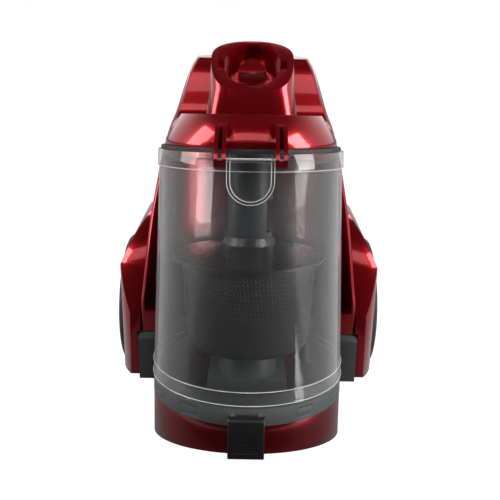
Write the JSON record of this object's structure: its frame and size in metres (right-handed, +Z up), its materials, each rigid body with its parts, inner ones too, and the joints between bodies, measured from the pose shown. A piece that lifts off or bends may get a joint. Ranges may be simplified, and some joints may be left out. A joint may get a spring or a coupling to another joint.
{
  "type": "canister vacuum cleaner",
  "caption": "Bagless canister vacuum cleaner with a clear lift-out cyclonic dust bin, red body, large rear wheels, swivel casters, and a hose socket in the bin's lid.",
  "frame": {"origin": "centre of the bounding box's footprint, on the floor that the wheels stand on", "axes": "+Z up, -Y towards the front with the dust bin, +X to the machine's right as seen from the front"},
  "size_m": [0.252, 0.3472, 0.3346],
  "materials": {
    "red_shell": "metallic red high gloss moulded plastic",
    "black_plastic": "black satin moulded plastic",
    "charcoal_plastic": "charcoal fine-textured moulded plastic",
    "clear_bin": "smoky clear moulded plastic, gloss",
    "rubber": "matt black rubber",
    "tyre_rubber": "matt black soft tyre",
    "steel": "bright steel",
    "foam": "dark grey pleated filter",
    "shroud_black": "black satin moulded plastic"
  },
  "bodies": {
    "machine": {"main_body_shell": "red_shell", "lower_chassis": "charcoal_plastic", "fender_left": "red_shell", "fender_right": "red_shell", "exhaust_filter": "foam", "wheel_axle_left": "steel", "wheel_axle_right": "steel", "fan_housing": "steel", "motor_can": "steel", "motor_mount_front": "rubber", "motor_mount_rear": "rubber", "intake_duct": "black_plastic", "duct_seal": "rubber", "reel_axle": "steel", "reel_bracket_left": "black_plastic", "reel_bracket_right": "black_plastic", "rewind_spring_case": "charcoal_plastic", "cord_outlet": "black_plastic", "button_tray": "black_plastic", "handle_pin_left": "steel", "handle_pin_right": "steel", "power_button_spring": "steel", "rewind_button_spring": "steel"},
    "rear_wheel_left": {"tyre_left": "tyre_rubber", "wheel_left": "charcoal_plastic", "hub_cap_left": "red_shell"},
    "rear_wheel_right": {"tyre_right": "tyre_rubber", "wheel_right": "charcoal_plastic", "hub_cap_right": "red_shell"},
    "caster_left": {"caster_fork_left": "black_plastic", "caster_pin_left": "steel"},
    "caster_right": {"caster_fork_right": "black_plastic", "caster_pin_right": "steel"},
    "caster_roller_left": {"caster_wheel_left": "rubber"},
    "caster_roller_right": {"caster_wheel_right": "rubber"},
    "motor_rotor": {"motor_armature": "steel", "fan_impeller": "steel"},
    "reel": {"cord_reel": "charcoal_plastic"},
    "dust_bin": {"bin_cylinder": "clear_bin", "base_ring": "charcoal_plastic", "shroud": "shroud_black", "shroud_skirt": "shroud_black", "inlet_tube": "charcoal_plastic", "lid_hinge_pin": "steel", "latch_pin": "steel", "cover_hinge_pin": "steel"},
    "lid": {"bin_lid": "red_shell", "lid_seal": "rubber", "hose_port": "red_shell"},
    "bin_bottom": {"bottom_cover": "red_shell"},
    "latch": {"front_latch": "black_plastic"},
    "power": {"power_button": "black_plastic"},
    "rewind": {"rewind_button": "black_plastic"},
    "dial": {"suction_dial": "charcoal_plastic"},
    "exhaust_door": {"exhaust_cover": "charcoal_plastic"},
    "handle": {"carry_handle": "black_plastic"}
  },
  "joints": [
    {"name": "rear_wheel_left_spin", "type": "hinge", "parent": "machine", "child": "rear_wheel_left", "pos_m": [-0.1125, 0.06115, 0.066], "axis": [1, 0, 0], "continuous": true},
    {"name": "caster_left_swivel", "type": "hinge", "parent": "machine", "child": "caster_left", "pos_m": [-0.082, 0.00615, 0.045], "axis": [0, 0, 1], "continuous": true},
    {"name": "caster_roller_left_spin", "type": "hinge", "parent": "caster_left", "child": "caster_roller_left", "pos_m": [-0.082, 0.01315, 0.012], "axis": [1, 0, 0], "continuous": true},
    {"name": "rear_wheel_right_spin", "type": "hinge", "parent": "machine", "child": "rear_wheel_right", "pos_m": [0.1125, 0.06115, 0.066], "axis": [1, 0, 0], "continuous": true},
    {"name": "caster_right_swivel", "type": "hinge", "parent": "machine", "child": "caster_right", "pos_m": [0.082, 0.00615, 0.045], "axis": [0, 0, 1], "continuous": true},
    {"name": "caster_roller_right_spin", "type": "hinge", "parent": "caster_right", "child": "caster_roller_right", "pos_m": [0.082, 0.01315, 0.012], "axis": [1, 0, 0], "continuous": true},
    {"name": "motor_spin", "type": "hinge", "parent": "machine", "child": "motor_rotor", "pos_m": [0, 0.07115, 0.07], "axis": [0, 1, 0], "continuous": true},
    {"name": "reel_spin", "type": "hinge", "parent": "machine", "child": "reel", "pos_m": [0, 0.09215, 0.185], "axis": [1, 0, 0], "continuous": true},
    {"name": "bin_lift", "type": "slide", "parent": "machine", "child": "dust_bin", "axis": [0, 0.1736, 0.9848], "range_m": [0, 0.46]},
    {"name": "lid_swing", "type": "hinge", "parent": "dust_bin", "child": "lid", "pos_m": [0, -0.1279, 0.26155], "axis": [1, 0, 0], "range_deg": [0, 95]},
    {"name": "bottom_cover_swing", "type": "hinge", "parent": "dust_bin", "child": "bin_bottom", "pos_m": [0, -0.00659, 0.04429], "axis": [1, 0, 0], "range_deg": [0, 80]},
    {"name": "front_latch_swing", "type": "hinge", "parent": "dust_bin", "child": "latch", "pos_m": [0, -0.16254, 0.07778], "axis": [-1, 0, 0], "range_deg": [0, 20]},
    {"name": "power_button_press", "type": "slide", "parent": "machine", "child": "power", "axis": [0, 0, -1], "range_m": [0, 0.003], "stiffness_N_per_m": 600, "deforming": ["power_button_spring"]},
    {"name": "rewind_button_press", "type": "slide", "parent": "machine", "child": "rewind", "axis": [0, 0, -1], "range_m": [0, 0.003], "stiffness_N_per_m": 600, "deforming": ["rewind_button_spring"]},
    {"name": "suction_dial_turn", "type": "hinge", "parent": "machine", "child": "dial", "pos_m": [0, 0.08415, 0.31], "axis": [0, 0, 1], "range_deg": [0, 270]},
    {"name": "exhaust_cover_swing", "type": "hinge", "parent": "machine", "child": "exhaust_door", "pos_m": [0, 0.16785, 0.0903], "axis": [-1, 0, 0], "range_deg": [0, 75]},
    {"name": "carry_handle_swing", "type": "hinge", "parent": "machine", "child": "handle", "pos_m": [0, 0.12415, 0.304], "axis": [1, 0, 0], "range_deg": [0, 130]}
  ]
}
